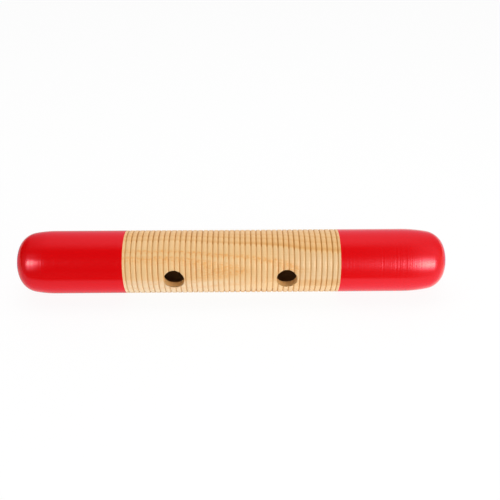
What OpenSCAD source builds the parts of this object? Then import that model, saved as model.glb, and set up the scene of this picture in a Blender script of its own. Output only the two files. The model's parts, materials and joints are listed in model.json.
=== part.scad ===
// Turned wooden scraper tube: a ribbed barrel with two finger holes, closed by two
// rounded, lacquered caps whose spigots are glued into the barrel's ends.
// The turning axis lies along X, the finger holes face -Y and Z is up.
// The origin is the middle of the tube, on its axis. Sizes are in millimetres.

/* [Overall] */
// Length over both rounded ends
body_length = 400; // [350:1:460]
// Diameter over the rib crests and the caps
body_diameter = 59; // [55:0.5:68]
// Thickness of the wood between the crests and the chamber
wall = 7.5; // [6.5:0.1:10]

/* [Ribbed barrel] */
// Length of the barrel between the two caps
barrel_length = 198; // [160:1:230]
// Number of ring grooves
groove_count = 40; // [20:1:44]
// Width of a groove at its mouth, between the crests
groove_width = 1.9; // [1.6:0.1:3]
// Width of a groove at its floor
groove_floor_width = 0.6; // [0.3:0.1:1.2]
// Depth of a groove below the crests
groove_depth = 1; // [0.7:0.1:1.8]
// Bevel that eases both edges of a crest
crest_bevel = 0.3; // [0.1:0.05:0.6]

/* [Finger holes] */
// Diameter of a finger hole
finger_hole_diameter = 19; // [15:0.5:23]
// Distance between the axes of the two finger holes
finger_hole_spacing = 103; // [70:1:120]
// Distance by which the pair of holes sits nearer the left cap
finger_hole_shift = 1.3; // [0:0.1:4]

/* [End joints] */
// Length of a cap's spigot
spigot_length = 12; // [6:0.5:16]
// Thickness of the wood of a spigot
spigot_wall = 3; // [2:0.1:3.6]
// Gap round a spigot for the glue
glue_gap = 0.1; // [0.05:0.05:0.2]
// Room past the end of a spigot for spare glue
glue_pocket = 0.5; // [0.2:0.1:1.5]
// Bevel that leads a spigot into its socket
spigot_bevel = 0.8; // [0.3:0.1:1.4]

/* [End caps] */
// Thickness of the wood between the chamber and the tip of a cap
cap_end_wall = 14; // [10:0.5:22]
// Radius in the corner of the chamber's closed end
chamber_corner_radius = 8; // [3:0.5:14]
// Angle through which a cap rolls off before its shoulder
cheek_angle = 10; // [6:0.5:14]
// Radius of the left cap's roll-off
left_cheek_radius = 104; // [70:1:150]
// Radius of the left cap's shoulder
left_shoulder_radius = 18.2; // [14:0.1:22]
// Radius of the right cap's roll-off
right_cheek_radius = 138; // [90:1:170]
// Radius of the right cap's shoulder
right_shoulder_radius = 19.4; // [15:0.1:22]
// Radius of the crown at the tip of both caps
crown_radius = 64; // [45:1:120]

/* [Hidden] */
$fn = 180;

wood_colour = [0.90, 0.73, 0.50];
lacquer_colour = [0.81, 0.04, 0.06];

body_radius = body_diameter / 2;
chamber_radius = body_radius - wall;
cap_length = (body_length - barrel_length) / 2;
groove_pitch = barrel_length / groove_count;
spigot_radius = chamber_radius + spigot_wall;
socket_radius = spigot_radius + glue_gap;
socket_depth = spigot_length + glue_pocket;
// Length by which a cutter runs past the faces that it opens
cut_past = 1;
// Height by which a shoulder stands proud of its neighbours, so that the arcs cross cleanly
arc_overlap = 0.01;

// The nose of a cap is three arcs, each tangent to the next: a long roll-off that leaves the
// straight side, a shoulder, and a crown centred on the axis. These places are measured from
// the end of the straight side, along the axis, or out from the axis.
function shoulder_height(cheek, shoulder) =
    body_radius - cheek + (cheek - shoulder) * cos(cheek_angle);
function shoulder_ahead(cheek, shoulder) = (cheek - shoulder) * sin(cheek_angle);
function crown_slant(cheek, shoulder) =
    asin(shoulder_height(cheek, shoulder) / (crown_radius - shoulder));
function crown_ahead(cheek, shoulder) =
    shoulder_ahead(cheek, shoulder)
    - (crown_radius - shoulder) * cos(crown_slant(cheek, shoulder));
function nose_length(cheek, shoulder) = crown_ahead(cheek, shoulder) + crown_radius;

// The profiles below are half sections: first the distance from the axis, then along it.

// The part of the children between two places along the axis
module between(low, high) {
    intersection() {
        translate([0, low]) square([body_radius, high - low]);
        union() children();
    }
}

// Outside of a cap from its joint face to its tip
module cap_outline(cheek, shoulder) {
    side_end = cap_length - nose_length(cheek, shoulder);
    cheek_end = side_end + cheek * sin(cheek_angle);
    shoulder_radius = shoulder_height(cheek, shoulder);
    shoulder_centre = side_end + shoulder_ahead(cheek, shoulder);
    shoulder_end = shoulder_centre + shoulder * cos(crown_slant(cheek, shoulder));
    square([body_radius, side_end]);
    between(side_end, cheek_end)
        translate([body_radius - cheek, side_end]) circle(r = cheek);
    translate([0, cheek_end]) square([shoulder_radius, shoulder_end - cheek_end]);
    between(side_end, cap_length)
        translate([shoulder_radius, shoulder_centre]) circle(r = shoulder + arc_overlap);
    between(shoulder_end, cap_length + cut_past)
        translate([0, side_end + crown_ahead(cheek, shoulder)]) circle(r = crown_radius);
}

// Bevelled spigot that stands out of a cap's joint face, rooted in the cap
module spigot_outline() {
    polygon([
        [0, -spigot_length],
        [spigot_radius - spigot_bevel, -spigot_length],
        [spigot_radius, spigot_bevel - spigot_length],
        [spigot_radius, cut_past],
        [0, cut_past],
    ]);
}

// Half section of the chamber inside a cap, with rounded corners at its closed end
module chamber_outline() {
    chamber_end = cap_length - cap_end_wall;
    corner_start = chamber_end - chamber_corner_radius;
    flat_radius = chamber_radius - chamber_corner_radius;
    translate([0, -spigot_length - cut_past])
        square([chamber_radius, corner_start + spigot_length + cut_past]);
    translate([0, corner_start]) square([flat_radius, chamber_corner_radius]);
    between(corner_start, chamber_end)
        translate([flat_radius, corner_start]) circle(r = chamber_corner_radius);
}

// A turned cap with its spigot at the joint face, standing along Z with its nose up
module end_cap(cheek, shoulder) {
    rotate_extrude() difference() {
        union() {
            cap_outline(cheek, shoulder);
            spigot_outline();
        }
        chamber_outline();
    }
}

// One ring groove: a flat floor and steep walls that open out into the bevels of the crests
module groove_outline() {
    floor_half = groove_floor_width / 2;
    wall_half = groove_width / 2 - crest_bevel;
    cutter_half = groove_width / 2 + cut_past;
    polygon([
        [body_radius - groove_depth, -floor_half],
        [body_radius - groove_depth, floor_half],
        [body_radius - crest_bevel, wall_half],
        [body_radius + cut_past, cutter_half],
        [body_radius + cut_past, -cutter_half],
        [body_radius - crest_bevel, -wall_half],
    ]);
}

// Half section of the barrel, from end to end
module barrel_outline() {
    half = barrel_length / 2;
    difference() {
        translate([chamber_radius, -half]) square([wall, barrel_length]);
        for (i = [0 : groove_count - 1])
            translate([0, (i + 0.5) * groove_pitch - half]) groove_outline();
        for (end = [-1, 1])
            translate([0, end * half - socket_depth]) square([socket_radius, 2 * socket_depth]);
    }
}

// Turned and bored tube with ring grooves, a socket in each end and two drilled finger holes
module ribbed_barrel() {
    color(wood_colour) difference() {
        rotate([0, 90, 0]) rotate_extrude() barrel_outline();
        for (side = [-1, 1])
            translate([side * finger_hole_spacing / 2 - finger_hole_shift, 0, 0])
                rotate([90, 0, 0]) cylinder(h = body_radius + cut_past, d = finger_hole_diameter);
    }
}

// Lacquered cap at the -X end
module left_end_cap() {
    color(lacquer_colour)
        translate([-barrel_length / 2, 0, 0]) rotate([0, -90, 0])
            end_cap(left_cheek_radius, left_shoulder_radius);
}

// Lacquered cap at the +X end
module right_end_cap() {
    color(lacquer_colour)
        translate([barrel_length / 2, 0, 0]) rotate([0, 90, 0])
            end_cap(right_cheek_radius, right_shoulder_radius);
}

ribbed_barrel();
left_end_cap();
right_end_cap();
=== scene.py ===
"""A turned wooden guiro: a ribbed barrel with two finger holes between two red lacquered caps."""

import json
import math
from typing import NamedTuple

import bpy
from bpy.props import FloatProperty, FloatVectorProperty, IntProperty, PointerProperty
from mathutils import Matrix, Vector


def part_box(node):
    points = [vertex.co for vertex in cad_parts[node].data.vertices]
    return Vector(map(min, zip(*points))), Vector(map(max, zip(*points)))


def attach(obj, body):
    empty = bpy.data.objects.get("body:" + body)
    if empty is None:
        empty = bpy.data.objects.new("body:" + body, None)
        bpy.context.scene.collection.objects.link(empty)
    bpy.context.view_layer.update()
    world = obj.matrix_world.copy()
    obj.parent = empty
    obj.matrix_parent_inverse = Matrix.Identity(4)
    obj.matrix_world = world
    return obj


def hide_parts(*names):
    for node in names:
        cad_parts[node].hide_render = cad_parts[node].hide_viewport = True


bl_info = {
    "name": "Turned Guiro",
    "version": (1, 0, 0),
    "blender": (4, 5, 0),
    "location": "View3D > Sidebar > Guiro",
    "description": "Builds a ribbed wooden guiro with lacquered caps around its packed frame",
    "category": "Add Mesh",
}

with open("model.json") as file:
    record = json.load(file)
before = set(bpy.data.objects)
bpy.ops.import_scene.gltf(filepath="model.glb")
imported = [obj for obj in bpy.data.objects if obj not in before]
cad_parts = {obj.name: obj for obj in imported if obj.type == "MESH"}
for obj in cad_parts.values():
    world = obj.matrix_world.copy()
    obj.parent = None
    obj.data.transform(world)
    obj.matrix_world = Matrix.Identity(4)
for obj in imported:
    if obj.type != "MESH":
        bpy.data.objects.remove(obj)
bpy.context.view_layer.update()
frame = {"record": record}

METRES_TO_MM = 1000

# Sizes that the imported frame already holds, in metres
barrel_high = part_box("ribbed_barrel")[1]
right_cap_low, right_cap_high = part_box("right_end_cap")
finger_holes = [mount for mount in frame["record"]["mounts"] if mount["kind"] == "bore"]
TUBE_RADIUS = barrel_high.z
BARREL_HALF = barrel_high.x
CAP_LENGTH = right_cap_high.x - barrel_high.x
SPIGOT_LENGTH = barrel_high.x - right_cap_low.x
HOLE_RADIUS = finger_holes[0]["dims"]["r_mm"] / METRES_TO_MM
HOLE_PLACES = sorted(mount["pos_m"][0] for mount in finger_holes)

# Sizes that barrel and caps share, in metres
CHAMBER_RADIUS = 0.022
SPIGOT_RADIUS = 0.025
GLUE_GAP = 0.0001
GLUE_POCKET = 0.0005


def size(label, about, default):
    """A length that a user may change."""
    return FloatProperty(
        name=label, description=about, default=default, min=0, precision=5, unit="LENGTH")


def angle(label, about, degrees):
    """An angle that a user may change."""
    return FloatProperty(
        name=label, description=about, default=math.radians(degrees), subtype="ANGLE")


def level(label, about, default):
    """A plain number that a user may change."""
    return FloatProperty(name=label, description=about, default=default, min=0)


def count(label, about, default, least=0):
    """A whole number that a user may change."""
    return IntProperty(name=label, description=about, default=default, min=least)


def colour(label, about, default):
    """A linear colour that a user may change."""
    return FloatVectorProperty(
        name=label, description=about, default=default, min=0, max=1, subtype="COLOR")


class BarrelSettings(bpy.types.PropertyGroup):
    """Sizes and colours of the ribbed barrel"""

    radius: size("Radius", "Radius over the rib crests", TUBE_RADIUS)
    half_length: size("Half Length", "Half the length of the barrel", BARREL_HALF)
    chamber_radius: size("Chamber Radius", "Radius of the bored chamber", CHAMBER_RADIUS)
    socket_radius: size("Socket Radius", "Radius of the socket in each end", SPIGOT_RADIUS + GLUE_GAP)
    socket_depth: size("Socket Depth", "Depth of the socket in each end", SPIGOT_LENGTH + GLUE_POCKET)
    groove_count: count("Grooves", "Number of ring grooves", 40, least=2)
    groove_width: size("Groove Width", "Width of a groove at its mouth", 0.0019)
    groove_depth: size("Groove Depth", "Depth of a groove below the crests", 0.0010)
    groove_steps: count("Groove Steps", "Points across one groove", 12, least=5)
    place_wander: size("Place Wander", "How far a groove may lie from its place", 0.00022)
    depth_wander: size("Depth Wander", "How far a groove may be from its depth", 0.00012)
    hole_radius: size("Hole Radius", "Radius of a finger hole", HOLE_RADIUS)
    rim_ease: size("Rim Ease", "Radius that eases the rim of a finger hole", 0.0004)
    seed: count("Seed", "Seed of the grooves' irregularity", 7)
    segments: count("Segments", "Steps round the barrel", 144, least=24)
    early_wood: colour("Early Wood", "Pale wood of a year's first growth", (0.80, 0.53, 0.255))
    pale_wood: colour("Pale Wood", "Paler wood at the right end and underneath", (0.80, 0.60, 0.37))
    late_wood: colour("Late Wood", "Darker wood that ends a year's growth", (0.69, 0.335, 0.080))
    # Brown of the cut faces in the grooves mixed with painted shade in those recesses; it also browns the
    # right end and the seam below
    cut_brown_and_shade: colour("Cut Wood", "Tint of the wood inside the grooves", (0.70, 0.55, 0.30))
    hole_wood: colour("Hole Wood", "Raw wood on the walls of the finger holes", (0.90, 0.52, 0.20))
    fleck: colour("Fleck", "Resin flecks and broken ring marks", (0.76, 0.33, 0.065))
    # Colour of the bored chamber: raw wood darkened with painted shade for its unlit inside
    chamber_wood_and_shade: colour("Chamber Wood", "Raw, dark wood of the bored chamber", (0.34, 0.17, 0.07))


class CapSettings(bpy.types.PropertyGroup):
    """Sizes and colours of the two end caps"""

    radius: size("Radius", "Radius of the straight side", TUBE_RADIUS)
    length: size("Length", "Length from the joint face to the tip", CAP_LENGTH)
    cheek_angle: angle("Cheek Angle", "Angle through which a cap rolls off before its shoulder", 10)
    left_cheek_radius: size("Left Cheek", "Radius of the left cap's roll-off", 0.104)
    left_shoulder_radius: size("Left Shoulder", "Radius of the left cap's shoulder", 0.0182)
    right_cheek_radius: size("Right Cheek", "Radius of the right cap's roll-off", 0.138)
    right_shoulder_radius: size("Right Shoulder", "Radius of the right cap's shoulder", 0.0194)
    crown_radius: size("Crown", "Radius of the crown at the tip", 0.064)
    spigot_radius: size("Spigot Radius", "Radius of the spigot", SPIGOT_RADIUS)
    spigot_length: size("Spigot Length", "Length of the spigot", SPIGOT_LENGTH)
    spigot_bevel: size("Spigot Bevel", "Bevel at the end of the spigot", 0.0008)
    chamber_radius: size("Chamber Radius", "Radius of the bored chamber", CHAMBER_RADIUS)
    end_wall: size("End Wall", "Wood between the chamber and the tip", 0.014)
    corner_radius: size("Corner Radius", "Radius in the corner of the chamber's end", 0.008)
    segments: count("Segments", "Steps round a cap", 144, least=24)
    lacquer: colour("Lacquer", "Colour of the lacquer", (0.765, 0.0018, 0.0030))
    bare_wood: colour("Bare Wood", "Unpainted wood of the spigot and the chamber", (0.62, 0.40, 0.20))


class StageSettings(bpy.types.PropertyGroup):
    """Camera, floor and studio light"""

    aim: FloatVectorProperty(
        name="Aim", description="Point at the middle of the picture",
        default=(0.01690, 0.00576, 0.00854), subtype="TRANSLATION", unit="LENGTH", precision=5,
    )
    distance: size("Distance", "Distance from the camera to the aim", 0.6165)
    azimuth: angle("Azimuth", "Turn of the camera round the object", -0.64)
    elevation: angle("Elevation", "Height of the camera over the horizon", 34.88)
    sensor: level("Sensor", "Width of the camera's sensor in millimetres", 36.0)
    lens: level("Lens", "Focal length of the camera in millimetres", 46.83)
    floor_size: size("Floor Size", "Side of the square floor", 8.0)
    floor_colour: colour("Floor", "Pale floor", (0.90, 0.90, 0.90))
    back_light: level("Back Light", "Even light from above and behind", 1.10)
    front_light: level("Front Light", "Even light from the front", 0.04)
    floor_light: level("Floor Light", "Even light from the pale floor", 1.44)
    panel: level("Panel", "Brightness of the sweep in reflections", 0.64)


# Node trees

class Wire:
    """An output socket of a node tree; arithmetic on it adds Math nodes."""

    def __init__(self, socket):
        self.socket = socket

    @property
    def tree(self):
        """The node tree that this wire belongs to."""
        return self.socket.id_data

    def out(self, name):
        """Another output of the same node."""
        return Wire(pick(self.socket.node.outputs, name))

    def math(self, operation, *others):
        """A Math node whose first value is this wire."""
        return calculate(self.tree, operation, self, *others)

    def __add__(self, other):
        return self.math("ADD", other)

    def __radd__(self, other):
        return calculate(self.tree, "ADD", other, self)

    def __sub__(self, other):
        return self.math("SUBTRACT", other)

    def __rsub__(self, other):
        return calculate(self.tree, "SUBTRACT", other, self)

    def __mul__(self, other):
        return self.math("MULTIPLY", other)

    def __rmul__(self, other):
        return calculate(self.tree, "MULTIPLY", other, self)

    def __truediv__(self, other):
        return self.math("DIVIDE", other)

    def __rtruediv__(self, other):
        return calculate(self.tree, "DIVIDE", other, self)

    def __pow__(self, other):
        return self.math("POWER", other)

    def __mod__(self, other):
        return self.math("FLOORED_MODULO", other)

    def __lt__(self, other):
        return self.math("LESS_THAN", other)

    def __gt__(self, other):
        return self.math("GREATER_THAN", other)

    def __abs__(self):
        return self.math("ABSOLUTE")

    def __floor__(self):
        return self.math("FLOOR")

    def cos(self):
        return self.math("COSINE")

    def sin(self):
        return self.math("SINE")

    def root(self):
        return self.math("SQRT")

    def clamped(self):
        """This wire, kept between zero and one."""
        return add(self.tree, "ShaderNodeClamp", None, {"Value": self})

    def ease(self, low, high, start=0.0, end=1.0):
        """A smooth step from start to end while this wire goes from low to high."""
        settings = {"interpolation_type": "SMOOTHSTEP"}
        sockets = {"Value": self, "From Min": low, "From Max": high, "To Min": start, "To Max": end}
        return add(self.tree, "ShaderNodeMapRange", settings, sockets)


class Fade(NamedTuple):
    """What ease takes: a smooth change from start to end while a wire goes from low to high."""

    low: float
    high: float
    start: float = 0.0
    end: float = 1.0


def pick(sockets, key):
    """A socket by its place, or the one in use that has this name."""
    if isinstance(key, int):
        return sockets[key]
    return next(socket for socket in sockets if socket.enabled and socket.name == key)


def add(tree, kind, settings=None, sockets=None):
    """Adds a node, sets its settings, then sets or links its sockets; gives its first output in use."""
    made = tree.nodes.new(kind)
    for name, value in (settings or {}).items():
        setattr(made, name, value)
    for key, value in (sockets or {}).items():
        connect(pick(made.inputs, key), value)
    used = [socket for socket in made.outputs if socket.enabled]
    return Wire(used[0]) if used else made


def connect(socket, value):
    """Links a wire to an input socket, or sets a plain value on it."""
    if isinstance(value, Wire):
        value.tree.links.new(value.socket, socket)
    else:
        socket.default_value = value


def calculate(tree, operation, *values):
    """A Math node on wires and numbers."""
    return add(tree, "ShaderNodeMath", {"operation": operation}, dict(enumerate(values)))


def combine(tree, x, y, z):
    """A vector from its three parts."""
    return add(tree, "ShaderNodeCombineXYZ", None, {"X": x, "Y": y, "Z": z})


def separate(tree, vector):
    """The X output of a vector; its Y and Z are other outputs of the same node."""
    return add(tree, "ShaderNodeSeparateXYZ", None, {"Vector": vector})


def mix_colours(tree, factor, first, second, blend="MIX"):
    """Two colours of four numbers, mixed by the factor."""
    settings = {"data_type": "RGBA", "blend_type": blend}
    return add(tree, "ShaderNodeMix", settings, {"Factor": factor, "A": first, "B": second})


def opaque(rgb):
    """A colour with full alpha."""
    return (*rgb, 1.0)


# Geometry trees

MERGE_DISTANCE = 2e-6
SHARP_EDGE = math.radians(38)
HALF_STEP = 0.5

# Marks on the points of a section, under this name: a finished outside, or bare wood
BARE_MARKS = "bare"
FINISHED = 0.0
BARE = 1.0


def geometry_tree(name, inputs):
    """A new geometry tree with named inputs, and the wires of those inputs."""
    tree = bpy.data.node_groups.new(name, "GeometryNodeTree")
    tree.interface.new_socket("Geometry", in_out="OUTPUT", socket_type="NodeSocketGeometry")
    for label, kind in inputs.items():
        tree.interface.new_socket(label, in_out="INPUT", socket_type="NodeSocket" + kind)
    first = add(tree, "NodeGroupInput")
    return tree, {label: first.out(label) for label in inputs}


def close_tree(tree, geometry):
    """Ends a geometry tree with its output."""
    add(tree, "NodeGroupOutput", None, {"Geometry": geometry})
    return tree


def group(tree, inner, sockets):
    """Uses one geometry tree inside another."""
    return add(tree, "GeometryNodeGroup", {"node_tree": inner}, sockets)


def point_count(tree, section):
    """The number of points in a section."""
    return add(tree, "GeometryNodeAttributeDomainSize", {"component": "MESH"}, {"Geometry": section})


def row_of(index, columns):
    """The row in which an index lies; half a step keeps the division clear of rounding."""
    return math.floor((index + HALF_STEP) / columns)


def sample_row(tree, section, value, row, kind):
    """The value that one point of a section has."""
    settings = {"data_type": kind, "domain": "POINT"}
    sockets = {"Geometry": section, "Value": value, "Index": row}
    return add(tree, "GeometryNodeSampleIndex", settings, sockets)


def sample_place(tree, section, row):
    """The place of one point of a section."""
    position = add(tree, "GeometryNodeInputPosition")
    return sample_row(tree, section, position, row, "FLOAT_VECTOR")


def sample_bare(tree, section, row):
    """The mark of one point of a section."""
    marks = add(tree, "GeometryNodeInputNamedAttribute", {"data_type": "FLOAT"}, {"Name": BARE_MARKS})
    return sample_row(tree, section, marks, row, "FLOAT")


def mark_bare(tree, geometry, bare):
    """Stores on each point whether its wood is bare."""
    settings = {"data_type": "FLOAT", "domain": "POINT"}
    sockets = {"Geometry": geometry, "Name": BARE_MARKS, "Value": bare}
    return add(tree, "GeometryNodeStoreNamedAttribute", settings, sockets)


def mesh_grid(tree, rows, columns):
    """A grid whose points are then moved into place."""
    return add(tree, "GeometryNodeMeshGrid", None, {"Vertices X": rows, "Vertices Y": columns})


def move_points(tree, geometry, place):
    """Moves each point of a geometry to its place."""
    return add(tree, "GeometryNodeSetPosition", None, {"Geometry": geometry, "Position": place})


def close_seams(tree, geometry):
    """Joins the points that lie on each other at seams and poles."""
    sockets = {"Geometry": geometry, "Distance": MERGE_DISTANCE}
    return add(tree, "GeometryNodeMergeByDistance", None, sockets)


def turning_tree():
    """Turns a half section round X. A section's points hold X along the axis and Y out from it."""
    tree, given = geometry_tree("Turn on the lathe", {
        "Section": "Geometry", "Segments": "Int", "Closed": "Int",
    })
    section = given["Section"]
    points = point_count(tree, section)
    columns = given["Segments"] + 1
    # A closed section has one more row, which comes back to its first point
    grid = mesh_grid(tree, points + given["Closed"], columns)
    index = add(tree, "GeometryNodeInputIndex")
    row = row_of(index, columns)
    turn = (index - row * columns) / given["Segments"] * math.tau
    along = separate(tree, sample_place(tree, section, row % points))
    out = along.out("Y")
    around = combine(tree, along, out * turn.cos() * -1, out * turn.sin())
    turned = move_points(tree, grid, around)
    marked = mark_bare(tree, turned, sample_bare(tree, section, row % points))
    return close_tree(tree, close_seams(tree, marked))


def finish_surface(tree, geometry, material):
    """Smooth faces that stay crisp at sharp edges, realized and with their material."""
    smooth = add(tree, "GeometryNodeSetShadeSmooth", {"domain": "FACE"},
                 {"Geometry": geometry, "Shade Smooth": True})
    sharp = add(tree, "GeometryNodeInputMeshEdgeAngle") > SHARP_EDGE
    crisp = add(tree, "GeometryNodeSetShadeSmooth", {"domain": "EDGE"},
                {"Geometry": smooth, "Selection": sharp, "Shade Smooth": False})
    real = add(tree, "GeometryNodeRealizeInstances", None, {"Geometry": crisp})
    return add(tree, "GeometryNodeSetMaterial", None, {"Geometry": real, "Material": material})


# What the ribbed section takes, which the barrel's tree hands on to it
RIB_INPUTS = {
    "Inner Walls": "Geometry", "Radius": "Float", "Half Length": "Float", "Grooves": "Int",
    "Groove Width": "Float", "Groove Depth": "Float", "Groove Steps": "Int",
    "Place Wander": "Float", "Depth Wander": "Float", "Seed": "Int",
}


def ribbed_section_tree():
    """Half section of the barrel: a row of ring grooves, then the walls of the bore back to the start."""
    tree, given = geometry_tree("Ribbed section", RIB_INPUTS)
    walls = given["Inner Walls"]
    steps = given["Groove Steps"]
    ribbed = given["Grooves"] * steps
    line = add(tree, "GeometryNodeMeshLine", None, {"Count": ribbed + point_count(tree, walls)})
    index = add(tree, "GeometryNodeInputIndex")
    groove = row_of(index, steps)
    across = (index - groove * steps) / (steps - 1) * 2 - 1
    dip = ((across * math.pi).cos() + 1) / 2

    def wander(reach, seed):
        """A groove's own random change, to either side of zero."""
        sockets = {"Min": reach * -1, "Max": reach, "ID": groove, "Seed": seed}
        return add(tree, "FunctionNodeRandomValue", {"data_type": "FLOAT"}, sockets)

    half = given["Half Length"]
    pitch = half * 2 / given["Grooves"]
    middle = (groove + HALF_STEP) * pitch - half + wander(given["Place Wander"], given["Seed"])
    depth = given["Groove Depth"] + wander(given["Depth Wander"], given["Seed"] + 1)
    along = middle + across * given["Groove Width"] / 2
    rib_place = combine(tree, along, given["Radius"] - depth * dip, 0.0)
    wall_place = sample_place(tree, walls, index - ribbed)
    on_ribs = index < ribbed
    place = add(tree, "GeometryNodeSwitch", {"input_type": "VECTOR"},
                {"Switch": on_ribs, "False": wall_place, "True": rib_place})
    placed = move_points(tree, line, place)
    bare = sample_bare(tree, walls, index - ribbed) * (1 - on_ribs)
    return close_tree(tree, mark_bare(tree, placed, bare))


# The cutter's rows: a pole, a lifted edge, the eased rim, a deep edge and the other pole
RIM_FIRST = 2
RIM_ROWS = 5
RIM_LAST = RIM_FIRST + RIM_ROWS - 1
CUTTER_ROWS = RIM_LAST + 3
CUTTER_COLUMNS = 96
# The columns start a little round, so that none falls on a column of the tube
CUTTER_START = 0.37
CUTTER_LIFT = 0.002
CUTTER_REACH = 0.012


def hole_cutter_tree():
    """A round cutter that comes in from -Y, with a rim that eases into the tube's round surface."""
    tree, given = geometry_tree("Finger hole cutter", {
        "Tube Radius": "Float", "Hole Radius": "Float", "Rim Ease": "Float",
    })
    columns = CUTTER_COLUMNS + 1
    grid = mesh_grid(tree, CUTTER_ROWS, columns)
    index = add(tree, "GeometryNodeInputIndex")
    row = row_of(index, columns)
    turn = (index - row * columns + CUTTER_START) * (math.tau / CUTTER_COLUMNS)
    # From the outer rim inwards, a quarter round leads from the surface to the wall of the hole
    bend = ((row - RIM_FIRST) / (RIM_ROWS - 1)).clamped() * (math.pi / 2)
    ease = given["Rim Ease"]
    lift = (row < RIM_FIRST) * CUTTER_LIFT
    reach = (row > RIM_LAST) * CUTTER_REACH
    below = ease * (1 - bend.cos()) - lift + reach
    off_poles = (row > 0) * (row < CUTTER_ROWS - 1)
    out = (given["Hole Radius"] + ease * (1 - bend.sin()) + lift) * off_poles
    high = out * turn.sin()
    surface = (given["Tube Radius"] ** 2 - high * high).root()
    place = combine(tree, out * turn.cos(), below - surface, high)
    return close_tree(tree, close_seams(tree, move_points(tree, grid, place)))


def barrel_tree(turning):
    """The whole barrel: its ribbed section turned on the lathe, then the finger holes drilled."""
    tree, given = geometry_tree("Ribbed barrel", {
        **RIB_INPUTS, "Segments": "Int", "Hole Radius": "Float", "Rim Ease": "Float",
        "First Hole": "Float", "Last Hole": "Float", "Material": "Material",
    })
    section = group(tree, ribbed_section_tree(), {label: given[label] for label in RIB_INPUTS})
    turned = group(tree, turning, {"Section": section, "Segments": given["Segments"], "Closed": 1})
    cutter = group(tree, hole_cutter_tree(), {
        "Tube Radius": given["Radius"], "Hole Radius": given["Hole Radius"], "Rim Ease": given["Rim Ease"],
    })
    places = add(tree, "GeometryNodeMeshLine", None, {
        "Count": len(HOLE_PLACES),
        "Start Location": combine(tree, given["First Hole"], 0.0, 0.0),
        "Offset": combine(tree, given["Last Hole"] - given["First Hole"], 0.0, 0.0),
    })
    cutters = add(tree, "GeometryNodeInstanceOnPoints", None, {"Points": places, "Instance": cutter})
    real = add(tree, "GeometryNodeRealizeInstances", None, {"Geometry": cutters})
    drilled = add(tree, "GeometryNodeMeshBoolean", {"operation": "DIFFERENCE", "solver": "MANIFOLD"},
                  {"Mesh 1": turned, "Mesh 2": real})
    return close_tree(tree, finish_surface(tree, drilled, given["Material"]))


def cap_tree(turning):
    """A cap: its half section turned on the lathe."""
    tree, given = geometry_tree("Turned cap", {
        "Section": "Geometry", "Segments": "Int", "Material": "Material",
    })
    turned = group(tree, turning, {
        "Section": given["Section"], "Segments": given["Segments"], "Closed": 0,
    })
    return close_tree(tree, finish_surface(tree, turned, given["Material"]))


def section_mesh(name, points):
    """A polyline of (along, out, bare) points, in order."""
    mesh = bpy.data.meshes.new(name)
    places = [(along, out, 0.0) for along, out, bare in points]
    mesh.from_pydata(places, [(i, i + 1) for i in range(len(points) - 1)], [])
    bare_marks = mesh.attributes.new(BARE_MARKS, "FLOAT", "POINT")
    bare_marks.data.foreach_set("value", [bare for along, out, bare in points])
    return mesh


def shape_piece(name, source, tree, inputs):
    """Runs a geometry tree on a source mesh and keeps the result as a plain mesh."""
    piece = bpy.data.objects.new(name, source)
    bpy.context.scene.collection.objects.link(piece)
    modifier = piece.modifiers.new(tree.name, "NODES")
    modifier.node_group = tree
    for item in tree.interface.items_tree:
        if item.name in inputs and item.in_out == "INPUT":
            modifier[item.identifier] = inputs[item.name]
    depsgraph = bpy.context.evaluated_depsgraph_get()
    shaped = bpy.data.meshes.new_from_object(
        piece.evaluated_get(depsgraph), preserve_all_data_layers=True, depsgraph=depsgraph)
    piece.modifiers.clear()
    piece.data = shaped
    if not shaped.polygons:
        raise RuntimeError(f"{name} came out empty")
    return piece


def seat_piece(piece, node):
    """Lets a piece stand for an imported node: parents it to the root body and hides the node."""
    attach(piece, "root")
    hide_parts(node)


# Materials

def empty_tree(owner):
    """The node tree of a material, a world or a lamp, cleared of the nodes that it starts with."""
    owner.use_nodes = True
    owner.node_tree.nodes.clear()
    return owner.node_tree


def start_material(name):
    """An empty material with its Principled shader, and that shader's node."""
    material = bpy.data.materials.new(name)
    tree = empty_tree(material)
    shader = add(tree, "ShaderNodeBsdfPrincipled")
    add(tree, "ShaderNodeOutputMaterial", None, {"Surface": shader})
    return material, tree, shader.socket.node


def feed(shader, **values):
    """Sets or links inputs of a shader; underscores in a name stand for spaces."""
    for name, value in values.items():
        connect(shader.inputs[name.replace("_", " ")], value)


def place_in_mm(tree):
    """Object coordinates in millimetres."""
    place = add(tree, "ShaderNodeTexCoord").out("Object")
    sockets = {"Vector": place, "Scale": METRES_TO_MM}
    return add(tree, "ShaderNodeVectorMath", {"operation": "SCALE"}, sockets)


def bare_marks_of(tree):
    """One where a piece's wood is bare."""
    settings = {"attribute_type": "GEOMETRY", "attribute_name": BARE_MARKS}
    return add(tree, "ShaderNodeAttribute", settings).out("Fac")


NOISE_MIDDLE = 0.5


class Pattern(NamedTuple):
    """A noise: about how long its features are in mm along X, Y and Z, and how it is made."""

    lengths: tuple
    detail: float
    shift: float = 0.0
    roughness: float = 0.5
    reach: float = 1.0


def noise(tree, place, pattern):
    """A pattern's noise, which lies around its middle."""
    stretched = add(tree, "ShaderNodeVectorMath", {"operation": "MULTIPLY_ADD"}, {
        0: place, 1: tuple(1 / length for length in pattern.lengths), 2: (pattern.shift,) * 3,
    })
    return add(tree, "ShaderNodeTexNoise", {"noise_dimensions": "3D"}, {
        "Vector": stretched, "Scale": 1.0, "Detail": pattern.detail, "Roughness": pattern.roughness,
    })


def swing(wire, pattern):
    """A pattern's noise as a change to either side of zero, as far as its reach."""
    return (wire - NOISE_MIDDLE) * pattern.reach


class Ring(NamedTuple):
    """A dark year ring: its place, how softly it ends on either side in mm, and how dark it is."""

    from_pith: float
    inner_fade: float
    outer_fade: float
    darkness: float


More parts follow.
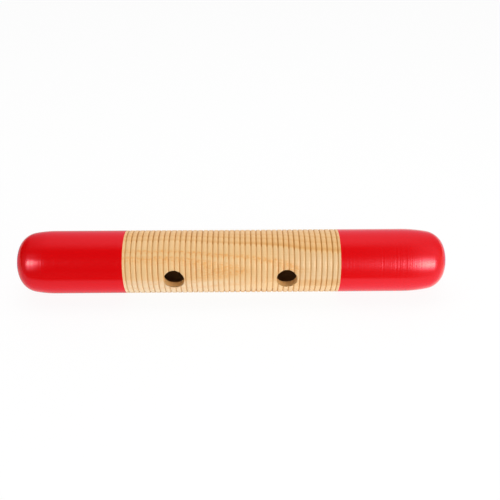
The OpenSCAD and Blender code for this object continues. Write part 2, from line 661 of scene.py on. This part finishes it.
# The year rings' run through the barrel, in mm: round a pith behind it, askew at the right
PITH_DEPTH = 70.0
PITH_LEAN = math.radians(16.5)
RING_SLOPE = 0.0427
STRAIGHT_PAST = -45.0
SLOPE_BLEND = 30.0
RING_STEP = Fade(40.0, 70.0, 0.0, 0.8)
RING_SWAY = Pattern((60, 22, 22), detail=1.0, reach=1.6)
RING_RIPPLE = Pattern((13, 4, 4), detail=2.0, shift=4.0, reach=0.5)

# Broken rings of the front, which are fainter below
FRONT_RINGS = (Ring(29.4, 0.8, 2.2, 0.65), Ring(26.8, 1.0, 1.3, 0.65))
FRONT_FADE = Fade(-9.0, 2.0, 0.45)

# The strong ring along the top, which is fainter at the left, and the golden wood past it
STRONG_RING = Ring(20.6, 2.6, 0.8, 0.80)
STRONG_FADE = Fade(-60.0, 40.0, 0.55)
GOLDEN_OUTER = Fade(20.8, 20.0)
GOLDEN_INNER = Fade(15.0, 18.0)
GOLDEN_LEFT = Fade(-5.0, 20.0)
GOLDEN_RIGHT = Fade(80.0, 45.0, 0.5)
GOLDEN_DARKNESS = 0.3

# Older years at the back, one every few mm; each darkens slowly and ends at once
BACK_RING = 16.6
BACK_SPACING = 4.2
YEAR_POWER = 1.6
YEAR_END = Fade(0.0, 0.06)
YEAR_SEED = 0.37
YEAR_DARKNESS = 0.35
YEAR_VARIETY = 0.3
BACK_EDGE = Fade(-1.0, -0.8)
BACK_SHADE = Fade(2.4, 0.4, 0.02, 0.28)

# Paler wood underneath and at the right end, a browner seam between them, and fainter rings there
UNDERSIDE = Fade(-6.8, -10.8)
SEAM_BELOW = Fade(-17.5, -14.5)
SEAM_RIGHT = Fade(40.0, 75.0)
SEAM_MARKS = 0.3
SEAM_BROWN = 0.3
PLAIN_BELOW = Fade(-27.0, -20.0)
PLAIN_RIGHT = Fade(10.0, 50.0)
PLAIN_SHARE = 0.9
RIGHT_END = Fade(15.0, 85.0)
RIGHT_YEARS = Fade(-1.0, -1.4)
RIGHT_PALE = 0.55
RIGHT_BROWN = 0.13
RIGHT_HALF_BROWN = Fade(20.0, 80.0, 0.0, 0.05)
SAPWOOD_FADE = Fade(45.0, -70.0, 0.15)

# Fibres and flecks of the wood, and the fine rings that the turning tool left
FIBRES = Pattern((46, 0.9, 0.9), detail=3.0, roughness=0.6, reach=0.30)
THREADS = Pattern((14, 0.34, 0.34), detail=1.0, shift=9.0, reach=0.16)
CLOUDS = Pattern((38, 14, 14), detail=2.0, shift=17.0, reach=0.4)
TOOLING = Pattern((0.5, 1, 1), detail=1.0, shift=2.0, reach=0.4)
DASHES = Pattern((3.2, 1.3, 1.3), detail=2.0, shift=31.0)
DASH_EDGE = Fade(0.42, 0.62, 0.3, 1.1)
FLECKS = Pattern((3.2, 0.8, 0.8), detail=1.0, shift=23.0)
FLECK_EDGE = Fade(0.70, 0.80, 0.0, 0.3)
RING_SHADE = 0.62
LEAST_SHADE = 0.08

# Depths below the crests in mm where cut wood and the walls of a hole begin, and how brown cuts are; that
# brown is partly the cut wood's own and partly painted shade in the grooves
CUT_DEPTH = Fade(0.15, 0.9)
WALL_DEPTH = Fade(1.2, 1.8)
CUT_BROWN_AND_SHADE = Fade(20.0, 80.0, 0.48, 0.66)
CUT_MARKS = 0.2

# Satin varnish over fibres that stand a little proud of the hard rings
FIBRE_HEIGHT = 0.5
RING_DIP = 0.4
WOOD_RELIEF = 0.00006
WOOD_RELIEF_STRENGTH = 0.25
VARNISH_ROUGHNESS = 0.28
FIBRE_ROUGHNESS = 0.10
CUT_ROUGHNESS = 0.22
VARNISH_IOR = 1.46


def distance_from_pith(tree, place, x, outward, sideways):
    """How far out from the pith the wood grew, in mm less the pith's depth, with a natural wander."""
    askew = x.math("SMOOTH_MAX", STRAIGHT_PAST, SLOPE_BLEND) * RING_SLOPE + x.ease(*RING_STEP)
    sway = swing(noise(tree, place, RING_SWAY), RING_SWAY)
    ripple = swing(noise(tree, place, RING_RIPPLE), RING_RIPPLE)
    from_pith = ((outward + PITH_DEPTH) ** 2 + sideways * sideways).root() - PITH_DEPTH
    return from_pith - askew + sway + ripple


def darkened(from_pith, ring):
    """How dark one year ring makes the wood."""
    inner = from_pith.ease(ring.from_pith - ring.inner_fade, ring.from_pith)
    outer = from_pith.ease(ring.from_pith + ring.outer_fade, ring.from_pith)
    return inner * outer * ring.darkness


def solid_rings(tree, x, from_pith, years):
    """The unbroken rings: the strong one, the golden wood past it and the older years at the back."""
    age = years % 1.0
    growth = add(tree, "ShaderNodeTexWhiteNoise", {"noise_dimensions": "1D"},
                 {"W": math.floor(years) + YEAR_SEED})
    older = (1 - age) ** YEAR_POWER * age.ease(*YEAR_END) * (growth * YEAR_VARIETY + YEAR_DARKNESS)
    golden = from_pith.ease(*GOLDEN_OUTER) * from_pith.ease(*GOLDEN_INNER)
    golden = golden * x.ease(*GOLDEN_LEFT) * x.ease(*GOLDEN_RIGHT)
    strong = darkened(from_pith, STRONG_RING) * x.ease(*STRONG_FADE)
    back = years.ease(*BACK_EDGE) * years.ease(*BACK_SHADE)
    return strong + older * (years > 0.0) + golden * GOLDEN_DARKNESS + back


def natural_wood(barrel):
    """Flat-sawn pale wood under a satin varnish: year rings, fibres, flecks and browner cuts that also
    carry painted shade.
    """
    material, tree, shader = start_material("natural_wood")
    place = place_in_mm(tree)
    x = separate(tree, place)
    y = x.out("Y")
    z = x.out("Z")
    outward = z * math.sin(PITH_LEAN) - y * math.cos(PITH_LEAN)
    sideways = z * math.cos(PITH_LEAN) + y * math.sin(PITH_LEAN)
    from_pith = distance_from_pith(tree, place, x, outward, sideways)
    years = (BACK_RING - from_pith) / BACK_SPACING

    # Rings are faint at the lower right, and browner marks lie where the two paler woods meet
    low = sideways.ease(*UNDERSIDE)
    seam = low * sideways.ease(*SEAM_BELOW) * x.ease(*SEAM_RIGHT)
    plain = low * sideways.ease(*PLAIN_BELOW) * x.ease(*PLAIN_RIGHT) * PLAIN_SHARE
    front = sum(darkened(from_pith, ring) for ring in FRONT_RINGS)
    broken = front * sideways.ease(*FRONT_FADE) + seam * SEAM_MARKS
    solid = solid_rings(tree, x, from_pith, years) * (1 - plain)
    right_end = x.ease(*RIGHT_END) * (1 - low) * years.ease(*RIGHT_YEARS)
    sapwood = low * x.ease(*SAPWOOD_FADE) + right_end * RIGHT_PALE

    # Fibres run along the tube, with small resin flecks between them
    fibre = noise(tree, place, FIBRES)
    thread = noise(tree, place, THREADS)
    cloud = noise(tree, place, CLOUDS)
    tooling = noise(tree, combine(tree, x, 0.0, 0.0), TOOLING)
    dash = noise(tree, place, DASHES).ease(*DASH_EDGE)
    fleck = noise(tree, place, FLECKS).ease(*FLECK_EDGE)
    shade = solid * RING_SHADE + swing(fibre, FIBRES) + swing(thread, THREADS)
    shade = shade + swing(cloud, CLOUDS) + swing(tooling, TOOLING) + LEAST_SHADE
    early = mix_colours(tree, sapwood, opaque(barrel.early_wood), opaque(barrel.pale_wood))
    grain = mix_colours(tree, shade, early, opaque(barrel.late_wood))
    flecked = mix_colours(tree, broken * dash + fleck, grain, opaque(barrel.fleck))

    # Cut faces in the grooves are browner than the crests, partly in their own colour and partly by
    # painted shade in the recesses, and the walls of the finger holes are rawer
    depth = barrel.radius * METRES_TO_MM - (y * y + z * z).root()
    groove_mask = depth.ease(*CUT_DEPTH)
    browned_and_shaded = groove_mask * (solid + broken * CUT_MARKS + x.ease(*CUT_BROWN_AND_SHADE))
    browned_and_shaded = browned_and_shaded + x.ease(*RIGHT_HALF_BROWN) + right_end * RIGHT_BROWN + seam * SEAM_BROWN
    tinted_and_shaded = mix_colours(tree, browned_and_shaded, flecked, opaque(barrel.cut_brown_and_shade), blend="MULTIPLY")
    walled = mix_colours(tree, depth.ease(*WALL_DEPTH), tinted_and_shaded, opaque(barrel.hole_wood))
    # The bore and sockets take the chamber's colour, raw wood darkened with painted shade
    lined_and_shaded = mix_colours(tree, bare_marks_of(tree), walled, opaque(barrel.chamber_wood_and_shade))

    bump = add(tree, "ShaderNodeBump", None, {
        "Strength": WOOD_RELIEF_STRENGTH, "Distance": WOOD_RELIEF,
        "Height": (fibre + thread) * FIBRE_HEIGHT - (broken + solid) * RING_DIP,
    })
    roughness = groove_mask * CUT_ROUGHNESS + fibre * FIBRE_ROUGHNESS + VARNISH_ROUGHNESS
    feed(shader, Base_Color=lined_and_shaded, Roughness=roughness, Normal=bump, IOR=VARNISH_IOR)
    return material


# Gloss lacquer over turning marks, with a faint orange peel
TURNING_MARKS = Pattern((1.5, 1, 1), detail=2.0)
PEEL = Pattern((2.2, 1.6, 1.6), detail=1.0, shift=5.0)
MARK_HEIGHT = 0.8
PEEL_HEIGHT = 0.03
LACQUER_RELIEF = 0.00022
LACQUER_RELIEF_STRENGTH = 0.8
LACQUER_METALLIC = 0.12
LACQUER_ROUGHNESS = 0.07
MARK_ROUGHNESS = 0.04
BARE_ROUGHNESS = 0.45
LACQUER_IOR = 1.5


def red_lacquer(caps):
    """Gloss red lacquer over turning marks, on caps whose joints and chambers are bare wood."""
    material, tree, shader = start_material("red_lacquer")
    place = place_in_mm(tree)
    bare = bare_marks_of(tree)
    marks = noise(tree, combine(tree, separate(tree, place), 0.0, 0.0), TURNING_MARKS)
    peel = noise(tree, place, PEEL)
    paint = mix_colours(tree, bare, opaque(caps.lacquer), opaque(caps.bare_wood))
    bump = add(tree, "ShaderNodeBump", None, {
        "Strength": LACQUER_RELIEF_STRENGTH, "Distance": LACQUER_RELIEF,
        "Height": marks * MARK_HEIGHT + peel * PEEL_HEIGHT,
    })
    roughness = bare * BARE_ROUGHNESS + marks * MARK_ROUGHNESS + LACQUER_ROUGHNESS
    feed(shader, Base_Color=paint, Metallic=(1 - bare) * LACQUER_METALLIC, Roughness=roughness,
         Normal=bump, IOR=LACQUER_IOR)
    return material


# Studio

WHITE = (1.0, 1.0, 1.0, 1.0)
COOL = (0.96, 1.0, 1.34, 1.0)

# The floor in reflections, in metres: it ends in front, dims to the left and has brighter patches
SWEEP_FRONT = Fade(-0.085, -0.060, 1.0, 0.0)
SWEEP_ENDS = (-0.20, 0.20)
SWEEP_LEFT_SHARE = 0.62
UNDER_FRONT = Fade(-0.030, -0.016)
UNDER_BACK = Fade(0.030, 0.012)
UNDER_LIFT = 0.10
NOSE_START = Fade(0.165, 0.190)
NOSE_END = Fade(0.32, 0.25, 0.0, 0.55)
BEYOND = Fade(0.08, 0.14)
BEYOND_LIFT = 0.22
COOL_FLOOR = Fade(0.60, 0.30)

# The share of the floor's even light at its left end, and of its matt surface that the camera sees
FLOOR_LEFT_SHARE = 0.93
SHADOW_KEPT = 0.08

# The sky by the parts of its direction: a haze in front, a pale sweep behind, cool but for the glows
HAZE = Fade(0.04, 0.69, 0.035, 0.59)
SWEEP_LEFT = Fade(-0.87, 0.17)
SWEEP_RIGHT = Fade(1.52, -0.30)
SWEEP_TURN = Fade(-0.27, 0.41)
LIGHT_TURN = (-0.35, 0.1)
COOL_GLOW = Fade(8.0, 2.0)
COOL_SKY = Fade(1.0, 0.88)


class Glow(NamedTuple):
    """A soft light that shows in reflections; its angles are in degrees."""

    azimuth: float
    elevation: float
    spread: float
    brightness: float


# The first four make the highlight on the left nose, and the last two that on the right nose
GLOWS = (
    Glow(-43.6, 25.0, 8.7, 10.0),
    Glow(-56.0, 42.0, 9.0, 0.4),
    Glow(-41.0, 11.0, 8.5, 1.7),
    Glow(-60.0, 14.8, 20.0, 0.3),
    Glow(36.2, 12.2, 13.2, 10.4),
    Glow(35.2, 23.5, 13.8, 2.4),
)


def direction_of(azimuth, elevation):
    """Unit vector from the object; azimuth zero is straight in front, at -Y."""
    return Vector((
        math.sin(azimuth) * math.cos(elevation),
        -math.cos(azimuth) * math.cos(elevation),
        math.sin(elevation),
    ))


def ray_kinds(tree):
    """Wires that are one for the camera's own rays, and for reflected or refracted ones."""
    path = add(tree, "ShaderNodeLightPath")
    mirror = path.out("Is Glossy Ray").math("MAXIMUM", path.out("Is Transmission Ray"))
    return path.out("Is Camera Ray"), mirror


def pale_floor(stage):
    """A pale floor: white to the camera, with the object's shadow, and ending in front in reflections."""
    material = bpy.data.materials.new("pale_floor")
    tree = empty_tree(material)
    camera, mirror = ray_kinds(tree)
    across = separate(tree, add(tree, "ShaderNodeTexCoord").out("Object"))
    behind = across.out("Y")
    under = behind.ease(*UNDER_FRONT) * behind.ease(*UNDER_BACK)
    beyond = behind.ease(*BEYOND)
    noses = abs(across).ease(*NOSE_START) * abs(across).ease(*NOSE_END)
    brighter = 1 + under * (noses + UNDER_LIFT) + beyond * BEYOND_LIFT
    sweep = across.ease(*SWEEP_ENDS, stage.panel * SWEEP_LEFT_SHARE, stage.panel) * brighter
    light = across.ease(*SWEEP_ENDS, stage.floor_light * FLOOR_LEFT_SHARE, stage.floor_light)
    strength = camera + (1 - camera) * (mirror * sweep + (1 - mirror) * light)
    cool = (1 - under - beyond) * abs(across).ease(*COOL_FLOOR)
    tint = mix_colours(tree, mirror * cool, WHITE, COOL)
    glow = add(tree, "ShaderNodeEmission", None, {"Color": tint, "Strength": strength})
    matt = add(tree, "ShaderNodeBsdfDiffuse", None, {"Color": opaque(stage.floor_colour)})
    lit = add(tree, "ShaderNodeMixShader", None, {0: 1 - camera * SHADOW_KEPT, 1: matt, 2: glow})
    ahead = mirror * behind.ease(*SWEEP_FRONT)
    clear = add(tree, "ShaderNodeBsdfTransparent")
    add(tree, "ShaderNodeOutputMaterial", None, {
        "Surface": add(tree, "ShaderNodeMixShader", None, {0: ahead, 1: lit, 2: clear}),
    })
    material.cycles.emission_sampling = "NONE"
    return material


def glow_towards(tree, direction, light):
    """The brightness of one soft light in a direction."""
    towards = direction_of(math.radians(light.azimuth), math.radians(light.elevation))
    sockets = {0: direction, 1: towards}
    facing = add(tree, "ShaderNodeVectorMath", {"operation": "DOT_PRODUCT"}, sockets)
    away = (facing - 1) * (2 / math.radians(light.spread) ** 2)
    return away.math("EXPONENT") * light.brightness


def studio_world(stage):
    """Even light, white to the camera; reflections show a pale sweep behind and soft lights in front."""
    world = bpy.data.worlds.new("studio")
    tree = empty_tree(world)
    camera, mirror = ray_kinds(tree)
    direction = add(tree, "ShaderNodeTexCoord").out("Generated")
    across = separate(tree, direction)
    depth = across.out("Y")
    haze = across.ease(*HAZE)
    sweep = across.ease(*SWEEP_LEFT) * across.ease(*SWEEP_RIGHT) * stage.panel
    glow = sum(glow_towards(tree, direction, light) for light in GLOWS)
    reflected = haze + (sweep - haze) * depth.ease(*SWEEP_TURN) + glow
    light = depth.ease(*LIGHT_TURN, stage.front_light, stage.back_light)
    strength = camera + (1 - camera) * (mirror * reflected + (1 - mirror) * light)
    cool = glow.ease(*COOL_GLOW) * abs(across).ease(*COOL_SKY)
    tint = mix_colours(tree, mirror * cool, WHITE, COOL)
    sky = add(tree, "ShaderNodeBackground", None, {"Color": tint, "Strength": strength})
    add(tree, "ShaderNodeOutputWorld", None, {"Surface": sky})
    world.cycles.sampling_method = "NONE"
    return world


class Lamp(NamedTuple):
    """A rectangular lamp, placed by the direction in which its target sees it; angles are in degrees."""

    name: str
    target: tuple
    azimuth: float
    elevation: float
    width: float
    height: float
    brightness: float


LAMP_DISTANCE = 1.0
LAMPS = (
    Lamp("right_fill", (0.180, -0.024, 0.014), 40.0, 22.0, 1.47, 1.07, 5.3),
    Lamp("front_fill", (0.0, 0.0, 0.0), -15.0, 30.0, 1.60, 1.07, 1.9),
    Lamp("top_fill", (0.0, 0.0, 0.0), 180.0, 78.0, 1.20, 0.93, 3.4),
)


def soften_edges(lamp_data):
    """Lets a lamp fade from its middle to its edges."""
    tree = empty_tree(lamp_data)
    across = separate(tree, add(tree, "ShaderNodeNewGeometry").out("Parametric"))
    aside = across * 2 - 1
    above = across.out("Y") * 2 - 1
    fade = (aside * aside + above * above).root().ease(1.0, 0.0)
    light = add(tree, "ShaderNodeEmission", None, {"Strength": fade})
    add(tree, "ShaderNodeOutputLight", None, {"Surface": light})


def place_looking(name, data, target, direction, distance):
    """Places a lamp or a camera out from its target, looking back at it."""
    holder = bpy.data.objects.new(name, data)
    bpy.context.scene.collection.objects.link(holder)
    holder.location = target + direction * distance
    holder.rotation_mode = "QUATERNION"
    holder.rotation_quaternion = (-direction).to_track_quat("-Z", "Y")
    return holder


def hang_lamp(lamp):
    """Hangs a lamp that lights matt surfaces and shows neither to the camera nor in reflections."""
    data = bpy.data.lights.new(lamp.name, "AREA")
    data.shape = "RECTANGLE"
    data.size = lamp.width
    data.size_y = lamp.height
    data.energy = lamp.brightness * math.pi * lamp.width * lamp.height
    soften_edges(data)
    direction = direction_of(math.radians(lamp.azimuth), math.radians(lamp.elevation))
    holder = place_looking(lamp.name, data, Vector(lamp.target), direction, LAMP_DISTANCE)
    holder.visible_glossy = False
    holder.visible_camera = False


# Operators

CROWN_STEPS = 8
SHOULDER_STEPS = 22
CHEEK_STEPS = 8
CORNER_STEPS = 6
SIDE_STEPS = 4


def arc(centre, radius, start, end, steps):
    """Points of an arc as (along, out) pairs; angles are measured from the axis."""
    angles = [start + (end - start) * i / steps for i in range(steps + 1)]
    return [(centre[0] + radius * math.cos(a), centre[1] + radius * math.sin(a)) for a in angles]


def cap_outside(caps, cheek, shoulder):
    """A cap from its tip to the joint face at zero: crown, shoulder, cheek and straight side."""
    square = math.pi / 2
    rolled = square - caps.cheek_angle
    height = caps.radius - cheek + (cheek - shoulder) * math.cos(caps.cheek_angle)
    ahead = (cheek - shoulder) * math.sin(caps.cheek_angle)
    slant = math.asin(height / (caps.crown_radius - shoulder))
    crown_ahead = ahead - (caps.crown_radius - shoulder) * math.cos(slant)
    side_end = caps.length - crown_ahead - caps.crown_radius
    points = arc((side_end + crown_ahead, 0.0), caps.crown_radius, 0.0, slant, CROWN_STEPS)
    points += arc((side_end + ahead, height), shoulder, slant, rolled, SHOULDER_STEPS)[1:]
    points += arc((side_end, caps.radius - cheek), cheek, rolled, square, CHEEK_STEPS)[1:]
    points += [(side_end * i / SIDE_STEPS, caps.radius) for i in reversed(range(SIDE_STEPS))]
    return points


def cap_inside(caps):
    """A cap's spigot and chamber, from the joint face to the middle of the chamber's end."""
    chamber_end = caps.length - caps.end_wall
    corner = (chamber_end - caps.corner_radius, caps.chamber_radius - caps.corner_radius)
    spigot = [
        (0.0, caps.spigot_radius),
        (caps.spigot_bevel - caps.spigot_length, caps.spigot_radius),
        (-caps.spigot_length, caps.spigot_radius - caps.spigot_bevel),
        (-caps.spigot_length, caps.chamber_radius),
    ]
    return spigot + arc(corner, caps.corner_radius, math.pi / 2, 0.0, CORNER_STEPS) + [(chamber_end, 0.0)]


def barrel_walls(barrel):
    """The barrel's ends, sockets and bore, from the right rim back to the left one."""
    end = barrel.half_length
    socket_end = end - barrel.socket_depth
    to_the_right = [
        (end, barrel.radius, FINISHED), (end, barrel.socket_radius, BARE),
        (socket_end, barrel.socket_radius, BARE), (socket_end, barrel.chamber_radius, BARE),
    ]
    return to_the_right + [(-along, out, bare) for along, out, bare in reversed(to_the_right)]


class GUIRO_OT_ribbed_barrel(bpy.types.Operator):
    """Turn the ribbed barrel and drill its finger holes"""

    bl_idname = "guiro.ribbed_barrel"
    bl_label = "Ribbed Barrel"

    def execute(self, context):
        barrel = context.scene.guiro_barrel
        source = section_mesh("barrel_walls", barrel_walls(barrel))
        piece = shape_piece("barrel_turning", source, barrel_tree(turning_tree()), {
            "Radius": barrel.radius, "Half Length": barrel.half_length, "Grooves": barrel.groove_count,
            "Groove Width": barrel.groove_width, "Groove Depth": barrel.groove_depth,
            "Groove Steps": barrel.groove_steps, "Place Wander": barrel.place_wander,
            "Depth Wander": barrel.depth_wander, "Seed": barrel.seed, "Segments": barrel.segments,
            "Hole Radius": barrel.hole_radius, "Rim Ease": barrel.rim_ease,
            "First Hole": HOLE_PLACES[0], "Last Hole": HOLE_PLACES[-1], "Material": natural_wood(barrel),
        })
        seat_piece(piece, "ribbed_barrel")
        return {"FINISHED"}


class GUIRO_OT_end_caps(bpy.types.Operator):
    """Turn the two end caps and lacquer them"""

    bl_idname = "guiro.end_caps"
    bl_label = "End Caps"

    def execute(self, context):
        caps = context.scene.guiro_caps
        tree = cap_tree(turning_tree())
        lacquer = red_lacquer(caps)
        inside = [(*point, BARE) for point in cap_inside(caps)]
        shapes = {
            "left": (-1, caps.left_cheek_radius, caps.left_shoulder_radius),
            "right": (1, caps.right_cheek_radius, caps.right_shoulder_radius),
        }
        for side, (facing, cheek, shoulder) in shapes.items():
            section = [(*point, FINISHED) for point in cap_outside(caps, cheek, shoulder)] + inside
            placed = [(facing * (BARREL_HALF + along), out, bare) for along, out, bare in section]
            # The right cap's section runs the other way, so that both caps face outwards
            source = section_mesh(f"{side}_cap_section", placed[::-facing])
            piece = shape_piece(f"{side}_cap_turning", source, tree, {
                "Segments": caps.segments, "Material": lacquer,
            })
            seat_piece(piece, f"{side}_end_cap")
        return {"FINISHED"}


class GUIRO_OT_stage(bpy.types.Operator):
    """Set up the floor, the studio light and the camera"""

    bl_idname = "guiro.stage"
    bl_label = "Stage"

    def execute(self, context):
        stage = context.scene.guiro_stage
        half = stage.floor_size / 2
        corners = [(-half, -half), (half, -half), (half, half), (-half, half)]
        mesh = bpy.data.meshes.new("floor")
        mesh.from_pydata([(x, y, -TUBE_RADIUS) for x, y in corners], [], [(0, 1, 2, 3)])
        mesh.materials.append(pale_floor(stage))
        floor = bpy.data.objects.new("floor", mesh)
        context.scene.collection.objects.link(floor)

        context.scene.world = studio_world(stage)
        for lamp in LAMPS:
            hang_lamp(lamp)

        data = bpy.data.cameras.new("camera")
        data.lens = stage.lens
        data.sensor_width = stage.sensor
        back = direction_of(stage.azimuth, stage.elevation)
        context.scene.camera = place_looking("camera", data, Vector(stage.aim), back, stage.distance)
        context.scene.view_settings.view_transform = "Standard"
        return {"FINISHED"}


class GUIRO_PT_panel(bpy.types.Panel):
    """Sidebar panel with the guiro's pieces and their settings"""

    bl_label = "Guiro"
    bl_space_type = "VIEW_3D"
    bl_region_type = "UI"
    bl_category = "Guiro"

    def draw(self, context):
        for operator, settings in (
            (GUIRO_OT_ribbed_barrel, context.scene.guiro_barrel),
            (GUIRO_OT_end_caps, context.scene.guiro_caps),
            (GUIRO_OT_stage, context.scene.guiro_stage),
        ):
            box = self.layout.box()
            box.operator(operator.bl_idname)
            for name in settings.bl_rna.properties.keys():
                if name not in ("rna_type", "name"):
                    box.prop(settings, name)


CLASSES = (
    BarrelSettings, CapSettings, StageSettings,
    GUIRO_OT_ribbed_barrel, GUIRO_OT_end_caps, GUIRO_OT_stage, GUIRO_PT_panel,
)


def register():
    for cls in CLASSES:
        bpy.utils.register_class(cls)
    bpy.types.Scene.guiro_barrel = PointerProperty(type=BarrelSettings)
    bpy.types.Scene.guiro_caps = PointerProperty(type=CapSettings)
    bpy.types.Scene.guiro_stage = PointerProperty(type=StageSettings)


def unregister():
    del bpy.types.Scene.guiro_stage
    del bpy.types.Scene.guiro_caps
    del bpy.types.Scene.guiro_barrel
    for cls in reversed(CLASSES):
        bpy.utils.unregister_class(cls)


def main():
    register()
    bpy.ops.guiro.ribbed_barrel()
    bpy.ops.guiro.end_caps()
    bpy.ops.guiro.stage()


if __name__ == "__main__":
    main()
